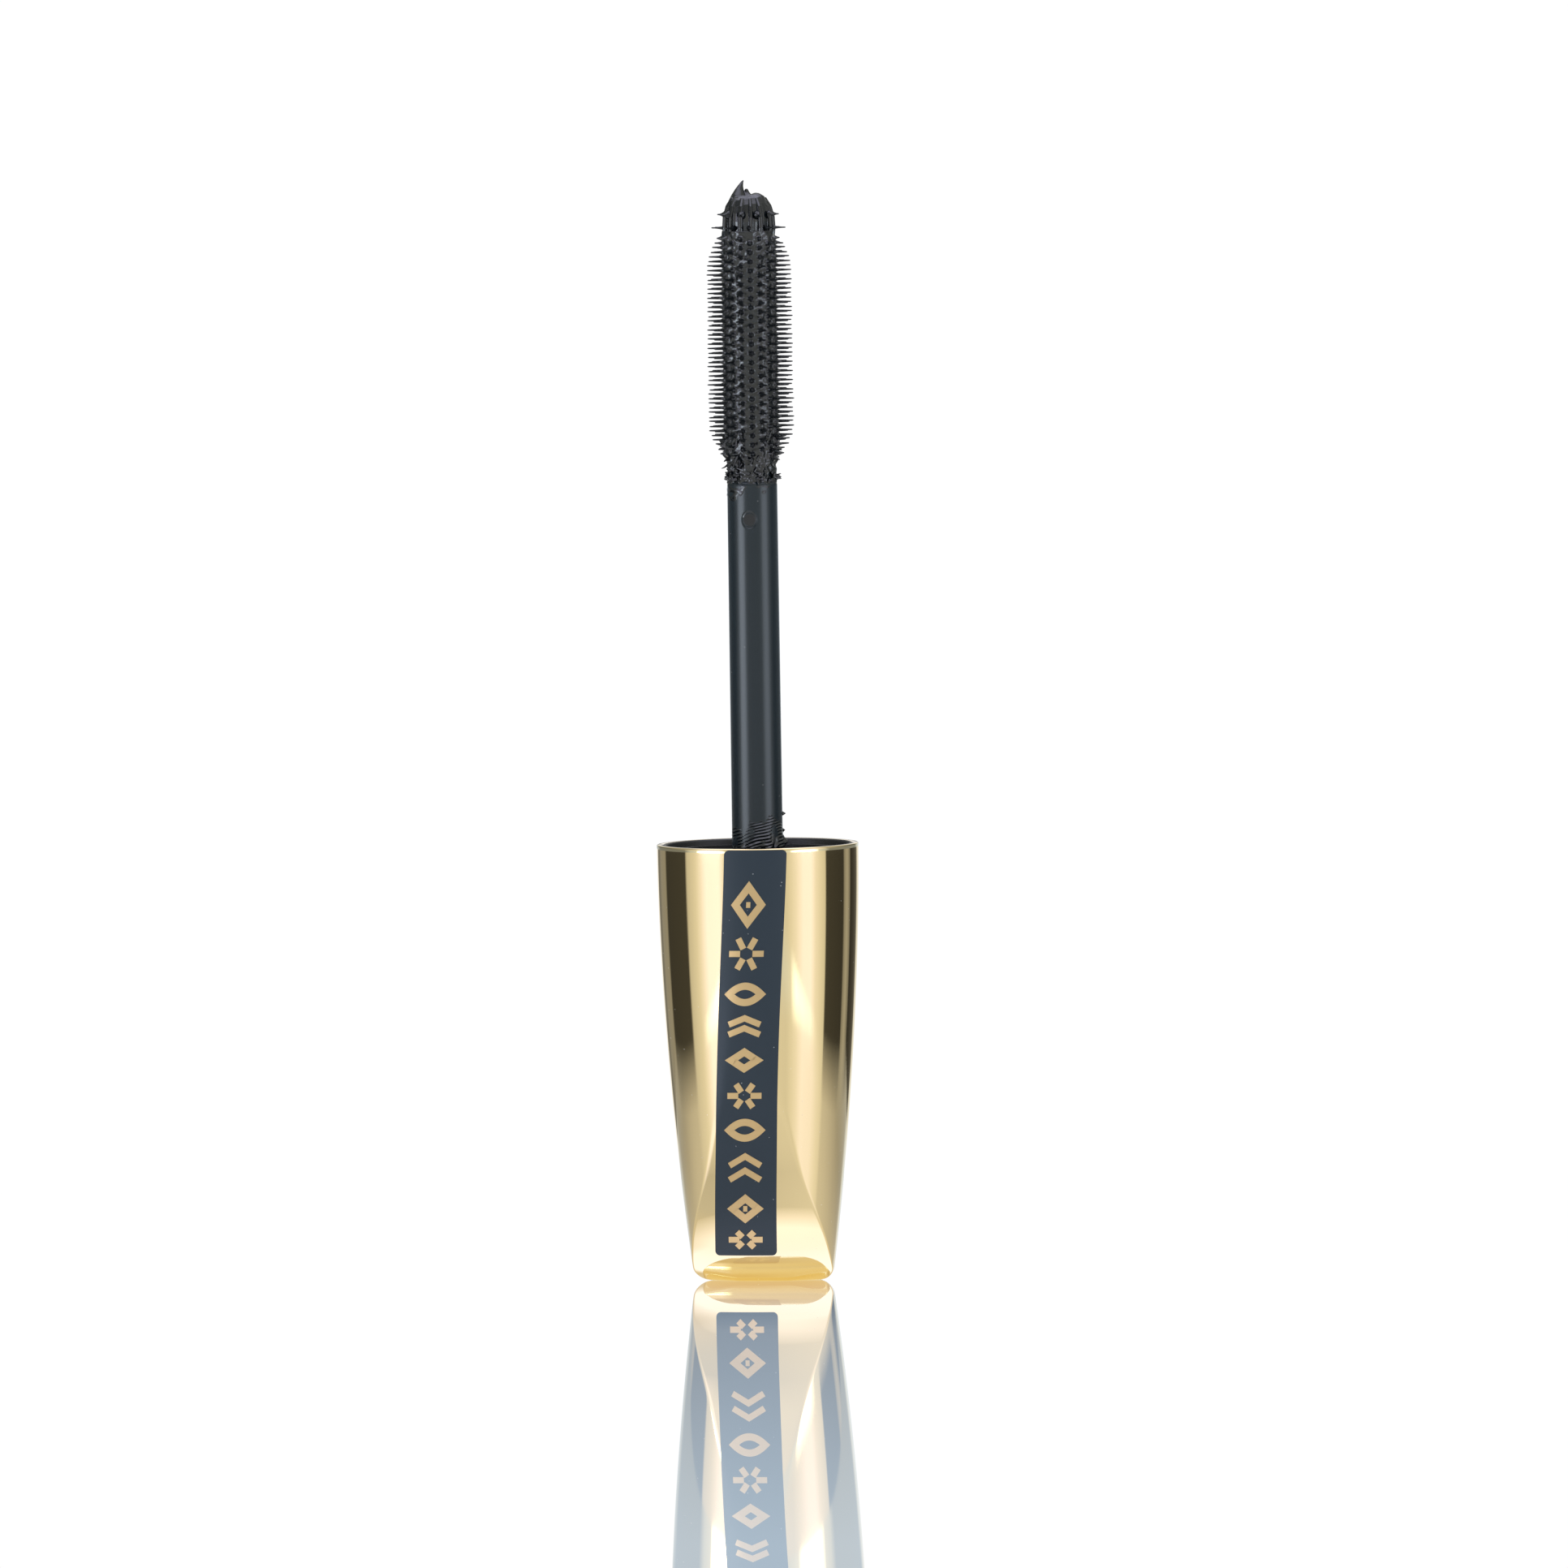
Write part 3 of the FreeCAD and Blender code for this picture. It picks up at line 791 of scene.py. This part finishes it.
def build_tip():
    """Formula gathered on the brush's tip: a body, two peaks, a shoulder and soft folds."""
    parts = [horn("tip_body", TIP_BODY), horn("tip_peak", TIP_PEAK), horn("tip_second", TIP_SECOND)]
    parts.append(horn("tip_plateau", TIP_PLATEAU))
    for i, (degrees, size) in enumerate(FOLDS):
        a = math.radians(degrees)
        s, c = math.sin(a), -math.cos(a)
        path = (
            (2.2 * s, 2.2 * c, 99.2, size), (2.32 * s, 2.32 * c, 100.4, size),
            (2.26 * s, 2.26 * c, 101.4, size), (2.0 * s, 2.0 * c, 102.4, size * 0.9),
            (1.55 * s, 1.55 * c, 103.2, size * 0.7),
        )
        parts.append(horn("tip_fold" + str(i), path, 16))
    return remeshed("formula_tip", parts, 0.04 * MM, 2)


# (angle, height, size, rise) of the dried lumps low on the wand
FOOT_LUMPS = ((98, 44.6, 0.17, 0.36), (103, 43.0, 0.15, 0.24), (97, 41.9, 0.4, 0.34), (-84, 42.1, 0.3, 0.16))


def film_tube(name, low, high, base_r, film, columns=220):
    """Tube that lies just under a surface and rises out of it where film(angle, z) says so."""
    rows = int((high - low) / FILM_ROW)
    rings = []
    for i in range(rows + 1):
        z = low + (high - low) * i / rows
        ring = []
        for j in range(columns):
            a = 2 * math.pi * j / columns
            r = base_r(z) - FILM_SINK + film(a, z)
            ring.append(Vector((r * math.sin(a), -r * math.cos(a), z)))
        rings.append(ring)
    return closed_rings(name, rings, Vector((0, 0, low)), Vector((0, 0, high)))


def foot_film(angle, z):
    """Smear low on the wand, left by the bottle's wiper: fine slanting streaks and a few lumps."""
    x, y = math.sin(angle), -math.cos(angle)
    height = (z - FOOT_Z) / MM - 0.62 * x
    edge = 3.1 + 1.3 * lump(x * 1.3, y * 1.3, 0.0, 0.9)
    band = smoothstep(edge, edge - 0.9, height)
    streak = 0.5 + 0.5 * math.sin(height * 21 + 4 * lump(x, y, height * 0.3, 0.7))
    patch = smoothstep(-0.25, 0.3, lump(x * 2.4, y * 2.4, height * 0.5, 0.9))
    low = smoothstep(1.1, 0.0, height) * (0.5 + 0.8 * lump(x * 3, y * 3, height, 0.5))
    film = band * (0.045 + 0.085 * streak * patch + 0.16 * low)
    for degrees, centre, size, rise in FOOT_LUMPS:
        across = (angle - math.radians(degrees)) * WAND_R_LOW / MM
        up = z / MM - centre
        film += rise * math.exp(-(across * across + up * up) / (size * size))
    return film * MM


def neck_film(angle, z):
    """Formula that has crept from the brush over the wand's shoulder."""
    x, y = math.sin(angle), -math.cos(angle)
    depth = (WAND_TOP - z) / MM
    reach = 1.3 + 1.6 * lump(x * 1.5, y * 1.5, 0.3, 1.0)
    on = smoothstep(reach, reach - 0.4, depth)
    return on * (0.07 + 0.06 * lump(x, y, depth, 0.35)) * MM


def build_products():
    """Every piece of formula on the brush and the wand."""
    foot = film_tube("formula_foot", *FOOT_FILM, wand_radius, foot_film)
    neck_high = WAND_TOP - WAND_SHOULDER
    neck = film_tube("formula_neck", NECK_FILM_LOW, neck_high, wand_radius, neck_film)
    return [build_fill(), build_shreds(), build_tip(), foot, neck]


# ---------------------------------------------------------------- materials

def principled(name, color, roughness, metallic=0.0, specular=0.5):
    """Plain material and its shader node."""
    mat = bpy.data.materials.new(name)
    mat.use_nodes = True
    shader = mat.node_tree.nodes["Principled BSDF"]
    shader.inputs["Base Color"].default_value = (*color, 1)
    shader.inputs["Roughness"].default_value = roughness
    shader.inputs["Metallic"].default_value = metallic
    shader.inputs["Specular IOR Level"].default_value = specular
    return mat, shader


def specks(mat, cell, size, share):
    """Mask that is 1 on small scattered dust specks."""
    nodes, links = mat.node_tree.nodes, mat.node_tree.links
    place = nodes.new("ShaderNodeTexCoord")
    cells = nodes.new("ShaderNodeTexVoronoi")
    cells.inputs["Scale"].default_value = 1 / cell
    links.new(place.outputs["Object"], cells.inputs["Vector"])
    near = nodes.new("ShaderNodeMath")
    near.operation = "LESS_THAN"
    near.inputs[1].default_value = size
    links.new(cells.outputs["Distance"], near.inputs[0])
    split = nodes.new("ShaderNodeSeparateColor")
    links.new(cells.outputs["Color"], split.inputs["Color"])
    chosen = nodes.new("ShaderNodeMath")
    chosen.operation = "LESS_THAN"
    chosen.inputs[1].default_value = share
    links.new(split.outputs["Red"], chosen.inputs[0])
    both = nodes.new("ShaderNodeMath")
    both.operation = "MULTIPLY"
    links.new(near.outputs[0], both.inputs[0])
    links.new(chosen.outputs[0], both.inputs[1])
    return both.outputs[0]


def dusty(mat, shader, color, dust, cell, size, share):
    """Lays pale dust over a plain material."""
    nodes, links = mat.node_tree.nodes, mat.node_tree.links
    mask = specks(mat, cell, size, share)
    tint = nodes.new("ShaderNodeMix")
    tint.data_type = "RGBA"
    tint.inputs["A"].default_value = (*color, 1)
    tint.inputs["B"].default_value = (*dust, 1)
    links.new(mask, tint.inputs["Factor"])
    links.new(tint.outputs["Result"], shader.inputs["Base Color"])
    rough = nodes.new("ShaderNodeMix")
    rough.inputs["A"].default_value = shader.inputs["Roughness"].default_value
    rough.inputs["B"].default_value = 0.7
    links.new(mask, rough.inputs["Factor"])
    links.new(rough.outputs["Result"], shader.inputs["Roughness"])


def bumpy(mat, shader, size, height):
    """Fine grain of a given size and height on a material."""
    nodes, links = mat.node_tree.nodes, mat.node_tree.links
    place = nodes.new("ShaderNodeTexCoord")
    grain = nodes.new("ShaderNodeTexNoise")
    grain.inputs["Scale"].default_value = 1 / size
    grain.inputs["Detail"].default_value = 3
    links.new(place.outputs["Object"], grain.inputs["Vector"])
    bump = nodes.new("ShaderNodeBump")
    bump.inputs["Distance"].default_value = height
    bump.inputs["Strength"].default_value = 1.0
    links.new(grain.outputs["Fac"], bump.inputs["Height"])
    links.new(bump.outputs["Normal"], shader.inputs["Normal"])


GOLD_COLOR = (0.87, 0.70, 0.40)
gold, gold_shader = principled("gold_metallised", GOLD_COLOR, 0.045, metallic=1.0)
dusty(gold, gold_shader, GOLD_COLOR, (0.9, 0.86, 0.78), cell=0.75 * MM, size=0.045, share=0.5)

NAVY_COLOR = (0.008, 0.021, 0.036)
navy, navy_shader = principled("navy_film", NAVY_COLOR, 0.42)
dusty(navy, navy_shader, NAVY_COLOR, (0.35, 0.36, 0.38), cell=0.8 * MM, size=0.06, share=0.4)

foil, _ = principled("foil_gold", (0.66, 0.47, 0.24), 0.4, metallic=1.0)

WAND_COLOR = (0.006, 0.013, 0.018)
wand_black, wand_shader = principled("wand_black", WAND_COLOR, 0.26)
dusty(wand_black, wand_shader, WAND_COLOR, (0.25, 0.25, 0.25), cell=0.7 * MM, size=0.05, share=0.3)

liner, liner_shader = principled("liner_black", (0.012, 0.012, 0.013), 0.38)
bumpy(liner, liner_shader, size=0.25 * MM, height=0.004 * MM)

elastomer, elastomer_shader = principled("elastomer_black", (0.003, 0.005, 0.007), 0.2)
bumpy(elastomer, elastomer_shader, size=0.2 * MM, height=0.02 * MM)

formula, formula_shader = principled("formula_black", (0.002, 0.004, 0.006), 0.19, specular=0.8)
bumpy(formula, formula_shader, size=0.8 * MM, height=0.02 * MM)

steel, _ = principled("weight_steel", (0.55, 0.56, 0.58), 0.3, metallic=1.0)
wad, wad_shader = principled("sealing_wad", (0.80, 0.80, 0.78), 0.6)
bumpy(wad, wad_shader, size=0.2 * MM, height=0.02 * MM)


def dress(obj, mat):
    """Gives an object one material."""
    obj.data.materials.clear()
    obj.data.materials.append(mat)


# ---------------------------------------------------------------- assembly

def place_piece(obj, mat, slot, *nodes):
    """Dresses a piece, binds it to the body and hides the nodes it stands for."""
    dress(obj, mat)
    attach(obj, "root")
    if nodes:
        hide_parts(*nodes)


shell_skin, first_inside, inside_faces = build_shell()
place_piece(shell_skin, gold, "gold_metallising", "cap_shell")
shell_skin.data.materials.append(liner)
# the inside is not plated and is black; the lip's chamfer gets the same black as painted shade
for face in shell_skin.data.polygons[first_inside:first_inside + inside_faces]:
    face.material_index = 1     # the shell is plated outside only
place_piece(build_label(), navy, "navy_film", "front_label")
place_piece(build_ornament(), foil, "gold_metallising")
place_piece(build_wand(), wand_black, "black_wand", "wand_stem")
place_piece(build_barrel(), elastomer, "black_elastomer", "bristle_sleeve")
place_piece(build_bristles(), elastomer, "black_elastomer")
for product in build_products():
    place_piece(product, formula, "black_formula", "formula_load")

dress(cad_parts["inner_cap"], liner)
dress(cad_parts["brush_core"], liner)
dress(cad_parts["cap_weight"], steel)
dress(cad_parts["neck_gasket"], wad)


# ---------------------------------------------------------------- stage

def toward(azimuth):
    """Level direction at an azimuth in degrees, 0 in front."""
    a = math.radians(azimuth)
    return Vector((math.sin(a), -math.cos(a), 0))


def color_ramp(nodes, stops):
    """Colour ramp through (distance, colour) stops."""
    ramp = nodes.new("ShaderNodeValToRGB")
    elements = ramp.color_ramp.elements
    while len(elements) < len(stops):
        elements.new(1.0)
    for element, (distance, color) in zip(elements, stops):
        element.position = distance / PLATE_REACH
        element.color = (*color, 1)
    return ramp


def plate_material():
    """White acrylic plate: a clear mirror over a glowing milk-white body that carries painted shade near the
    object.

    The camera and the object see the glowing body with a colour ramp each; the object's ramp adds a painted
    warm glow close to the cap.
    """
    mat = bpy.data.materials.new("white_plate")
    mat.use_nodes = True
    nodes, links = mat.node_tree.nodes, mat.node_tree.links
    nodes.clear()
    place = nodes.new("ShaderNodeTexCoord")
    narrow = nodes.new("ShaderNodeVectorMath")
    narrow.operation = "MULTIPLY"
    narrow.inputs[1].default_value = (PLATE_SIDEWAYS, 1, 1)
    links.new(place.outputs["Object"], narrow.inputs[0])
    far = nodes.new("ShaderNodeVectorMath")
    far.operation = "LENGTH"
    links.new(narrow.outputs[0], far.inputs[0])
    share = nodes.new("ShaderNodeMath")
    share.operation = "DIVIDE"
    share.inputs[1].default_value = PLATE_REACH
    links.new(far.outputs["Value"], share.inputs[0])
    ray = nodes.new("ShaderNodeLightPath")
    painted_milky = nodes.new("ShaderNodeMix")
    painted_milky.data_type = "RGBA"
    for stops, socket in ((PLATE_PAINTED_GLOW, "A"), (PLATE_PAINTED_SHADE_SEEN, "B")):
        ramp = color_ramp(nodes, stops)
        links.new(share.outputs[0], ramp.inputs["Fac"])
        links.new(ramp.outputs["Color"], painted_milky.inputs[socket])
    links.new(ray.outputs["Is Camera Ray"], painted_milky.inputs["Factor"])
    # the plate's body glows: painted shade near the object and a painted warm glow by the cap
    body = nodes.new("ShaderNodeEmission")
    links.new(painted_milky.outputs["Result"], body.inputs["Color"])
    rest = nodes.new("ShaderNodeInvert")
    links.new(painted_milky.outputs["Result"], rest.inputs["Color"])
    mirror = nodes.new("ShaderNodeBsdfGlossy")
    mirror.inputs["Roughness"].default_value = 0.0
    links.new(rest.outputs["Color"], mirror.inputs["Color"])
    both = nodes.new("ShaderNodeAddShader")
    links.new(mirror.outputs[0], both.inputs[0])
    links.new(body.outputs[0], both.inputs[1])
    edge = nodes.new("ShaderNodeVertexColor")
    edge.layer_name = "level"
    clear = nodes.new("ShaderNodeBsdfTransparent")
    pick = nodes.new("ShaderNodeMixShader")
    links.new(edge.outputs["Color"], pick.inputs["Fac"])
    links.new(clear.outputs[0], pick.inputs[1])
    links.new(both.outputs[0], pick.inputs[2])
    out = nodes.new("ShaderNodeOutputMaterial")
    links.new(pick.outputs[0], out.inputs["Surface"])
    return mat


def studio_material():
    """Cards of light and dark, clear to a ray whose one bounce so far was off the plate's mirror."""
    mat = bpy.data.materials.new("studio_card")
    mat.use_nodes = True
    nodes, links = mat.node_tree.nodes, mat.node_tree.links
    nodes.clear()
    out = nodes.new("ShaderNodeOutputMaterial")
    level = nodes.new("ShaderNodeVertexColor")
    level.layer_name = "level"
    glow = nodes.new("ShaderNodeEmission")
    links.new(level.outputs["Color"], glow.inputs["Color"])
    clear = nodes.new("ShaderNodeBsdfTransparent")
    ray = nodes.new("ShaderNodeLightPath")
    first = nodes.new("ShaderNodeMath")
    first.operation = "LESS_THAN"
    first.inputs[1].default_value = 1.5
    links.new(ray.outputs["Ray Depth"], first.inputs[0])
    mirrored = nodes.new("ShaderNodeMath")
    mirrored.operation = "MULTIPLY"
    links.new(first.outputs[0], mirrored.inputs[0])
    links.new(ray.outputs["Is Singular Ray"], mirrored.inputs[1])
    pick = nodes.new("ShaderNodeMixShader")
    links.new(mirrored.outputs[0], pick.inputs["Fac"])
    links.new(glow.outputs[0], pick.inputs[1])
    links.new(clear.outputs[0], pick.inputs[2])
    links.new(pick.outputs[0], out.inputs["Surface"])
    return mat


def painted(obj, colors):
    """Stores one colour per vertex as the attribute that the studio materials read."""
    layer = obj.data.color_attributes.new("level", "FLOAT_COLOR", "POINT")
    for i, c in enumerate(colors):
        layer.data[i].color = (*c, 1)


def between(profile, azimuth):
    """Level at an azimuth, straight between the profile's points."""
    for (a0, l0), (a1, l1) in zip(profile, profile[1:]):
        if a0 <= azimuth <= a1:
            return mix(l0, l1, (azimuth - a0) / max(a1 - a0, 1e-6))
    return profile[-1][1]


def direct_light(level):
    """Card colour: strong cards are a little cooler than weak ones."""
    return (level, level, level * mix(0.93, 1.2, smoothstep(0.8, 1.35, level)))


def wand_light(level):
    """Card colour round the wand: a little cooler than grey."""
    return (level * 0.87, level * 0.98, level * 1.08)


def light_for_plate(level):
    """Card colour that looks like direct_light(level) once it is seen in the plate."""
    seen = direct_light(level)
    # far from the object the plate's body glows with this painted light
    painted_milky = PLATE_PAINTED_GLOW[-1][1]
    return tuple(max((seen[i] - painted_milky[i]) / (1 - painted_milky[i]), 0.0) for i in range(3))


def ring_card(name, rows, material):
    """Closed card round the object, domed above. Each row is (height, profile, colour function)."""
    verts, colors = [], []
    columns = 360
    for height, profile, paint in rows:
        bend = min(max(height - DOME_FOOT, 0) / DOME_RISE, 1)
        radius = STUDIO_R * math.sqrt(1 - bend ** 2)
        for j in range(columns):
            azimuth = -180 + 360 * j / columns
            verts.append(toward(CAMERA_AZ + azimuth) * radius + Vector((0, 0, height)))
            colors.append(paint(between(profile, azimuth)))
    faces = ring_faces(len(rows), columns)
    obj = mesh_object(name, verts, faces, smooth=False)
    painted(obj, colors)
    dress(obj, material)
    obj.visible_camera = False
    obj.visible_shadow = False


# Rings of cards from below upwards: (name, rows), each lit for the part of the object that mirrors it.
CARD_RINGS = (
    ("cards_below", ((-0.2, CARDS_BELOW, direct_light), (0.01, CARDS_BELOW, direct_light))),
    ("cards_wand", ((0.01, CARDS_WAND, wand_light), (0.06, CARDS_WAND, wand_light),
                    (0.085, CARDS_ABOVE, light_for_plate))),
    ("cards_above", ((0.085, CARDS_ABOVE, light_for_plate), (0.2, CARDS_ABOVE, light_for_plate),
                     (0.35, CARDS_TOP, light_for_plate), (0.55, CARDS_TOP, light_for_plate))),
    ("cards_sky", ((0.55, CARDS_TOP, direct_light), (0.65, CARDS_SKY, direct_light),
                   (0.8, CARDS_SKY, direct_light))),
)


def build_plate():
    """The plate's top, square to the camera, with side edges that fade out."""
    out = toward(CAMERA_AZ)
    right = Vector((-out.y, out.x, 0))
    across = (-PLATE_SIDE - PLATE_FADE, -PLATE_SIDE + PLATE_FADE,
              PLATE_SIDE - PLATE_FADE, PLATE_SIDE + PLATE_FADE)
    verts, colors = [], []
    for y in (-PLATE_FRONT, PLATE_BACK):
        for i, x in enumerate(across):
            verts.append(right * x - out * y)
            colors.append((1, 1, 1) if i in (1, 2) else (0, 0, 0))
    plate = mesh_object("plate", verts, [(i, i + 1, i + 5, i + 4) for i in range(3)], smooth=False)
    painted(plate, colors)
    dress(plate, plate_material())


def build_stage():
    """The plate and the rings of cards."""
    build_plate()
    card = studio_material()
    for name, rows in CARD_RINGS:
        ring_card(name, rows, card)


def build_world():
    """Even white surroundings."""
    world = bpy.data.worlds.new("studio")
    bpy.context.scene.world = world
    world.use_nodes = True
    back = world.node_tree.nodes["Background"]
    back.inputs["Color"].default_value = (1, 1, 1, 1)
    back.inputs["Strength"].default_value = WORLD_LEVEL


def build_camera():
    """Long lens, slightly above the object, rolled by the object's lean."""
    data = bpy.data.cameras.new("camera")
    camera = bpy.data.objects.new("camera", data)
    bpy.context.scene.collection.objects.link(camera)
    out = toward(CAMERA_AZ)
    right = Vector((-out.y, out.x, 0))
    aim = right * AIM_RIGHT + Vector((0, 0, AIM_Z))
    camera.location = out * CAMERA_DISTANCE + right * AIM_RIGHT + Vector((0, 0, CAMERA_Z))
    look = aim - camera.location
    camera.rotation_euler = look.to_track_quat("-Z", "Y").to_euler("XYZ")
    camera.rotation_euler.rotate_axis("Z", math.radians(-CAMERA_ROLL))
    data.sensor_width = SENSOR
    data.lens = SENSOR * look.length / FRAME_WIDTH
    data.clip_end = 20
    bpy.context.scene.camera = camera


build_stage()
build_world()
build_camera()
bpy.context.scene.view_settings.view_transform = "Standard"
bpy.context.scene.view_settings.look = "None"
